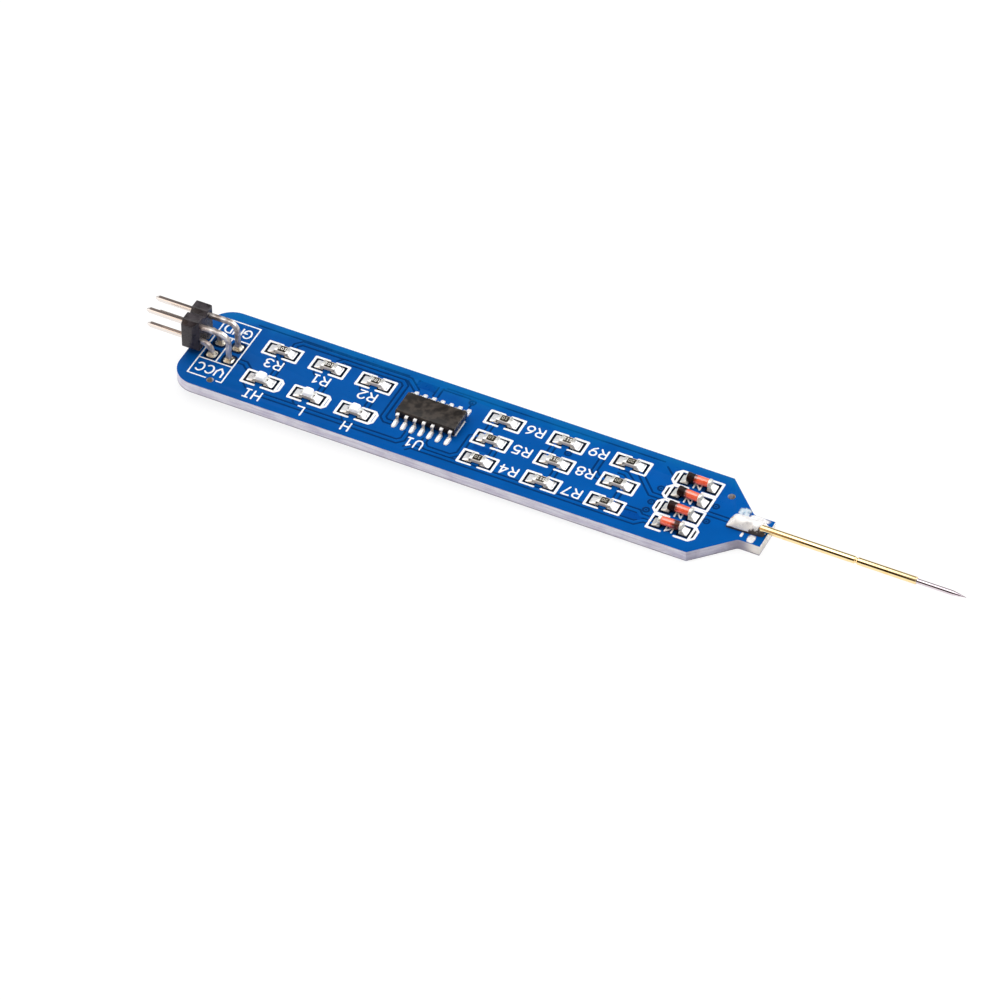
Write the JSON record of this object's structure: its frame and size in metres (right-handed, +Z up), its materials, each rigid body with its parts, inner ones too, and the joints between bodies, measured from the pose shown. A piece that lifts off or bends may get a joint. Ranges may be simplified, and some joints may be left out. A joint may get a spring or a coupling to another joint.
{
  "type": "logic probe",
  "caption": "Slim pen-like logic probe: a blue circuit board with lamps and a chip, a right-angle power header at the rear and a spring-loaded test needle at the nose.",
  "frame": {"origin": "below the middle of the overall length and width, at the tips of the header's legs", "axes": "+X along the board towards the needle's point, +Y across the board, +Z up, out of the board's component side"},
  "size_m": [0.1168, 0.015, 0.0084],
  "materials": {
    "board_mask": "blue solder mask over glass-fibre laminate",
    "header_plastic": "black moulded",
    "pin_metal": "tin-plated",
    "solder": "bright solder",
    "chip_resin": "moulded resin",
    "lead_metal": "tin-plated",
    "resistor_ceramic": "white ceramic with a dark printed cover",
    "terminal_metal": "tin-plated",
    "lamp_base": "white laminate",
    "lamp_lens": "milky resin",
    "diode_glass": "orange glass",
    "barrel_gold": "gold-plated",
    "plunger_metal": "plated steel",
    "spring_steel": "drawn wire"
  },
  "bodies": {
    "board": {"circuit_board": "board_mask", "header_housing": "header_plastic", "header_pin_supply_lower": "pin_metal", "header_pin_supply_upper": "pin_metal", "header_pin_ground_lower": "pin_metal", "header_pin_ground_upper": "pin_metal", "header_solder": "solder", "chip_body": "chip_resin", "chip_leads": "lead_metal", "surface_solder": "solder", "resistor_r3": "resistor_ceramic", "resistor_r1": "resistor_ceramic", "resistor_r2": "resistor_ceramic", "resistor_r6": "resistor_ceramic", "resistor_r5": "resistor_ceramic", "resistor_r4": "resistor_ceramic", "resistor_r9": "resistor_ceramic", "resistor_r8": "resistor_ceramic", "resistor_r7": "resistor_ceramic", "resistor_r12": "resistor_ceramic", "resistor_r11": "resistor_ceramic", "resistor_r10": "resistor_ceramic", "terminals_r3": "terminal_metal", "terminals_r1": "terminal_metal", "terminals_r2": "terminal_metal", "terminals_r6": "terminal_metal", "terminals_r5": "terminal_metal", "terminals_r4": "terminal_metal", "terminals_r9": "terminal_metal", "terminals_r8": "terminal_metal", "terminals_r7": "terminal_metal", "terminals_r12": "terminal_metal", "terminals_r11": "terminal_metal", "terminals_r10": "terminal_metal", "lamp_base_hi": "lamp_base", "lamp_base_low": "lamp_base", "lamp_base_high": "lamp_base", "lamp_lens_hi": "lamp_lens", "lamp_lens_low": "lamp_lens", "lamp_lens_high": "lamp_lens", "lamp_terminals_hi": "terminal_metal", "lamp_terminals_low": "terminal_metal", "lamp_terminals_high": "terminal_metal", "diode_glass_1": "diode_glass", "diode_glass_2": "diode_glass", "diode_glass_3": "diode_glass", "diode_glass_4": "diode_glass", "diode_caps_1": "terminal_metal", "diode_caps_2": "terminal_metal", "diode_caps_3": "terminal_metal", "diode_caps_4": "terminal_metal", "needle_solder": "solder", "needle_barrel": "barrel_gold", "needle_spring": "spring_steel"},
    "plunger": {"needle_plunger": "plunger_metal"}
  },
  "joints": [
    {"name": "needle_slide", "type": "slide", "parent": "board", "child": "plunger", "axis": [-1, 0, 0], "range_m": [0, 0.0063], "stiffness_N_per_m": 150, "deforming": ["needle_spring"]}
  ]
}
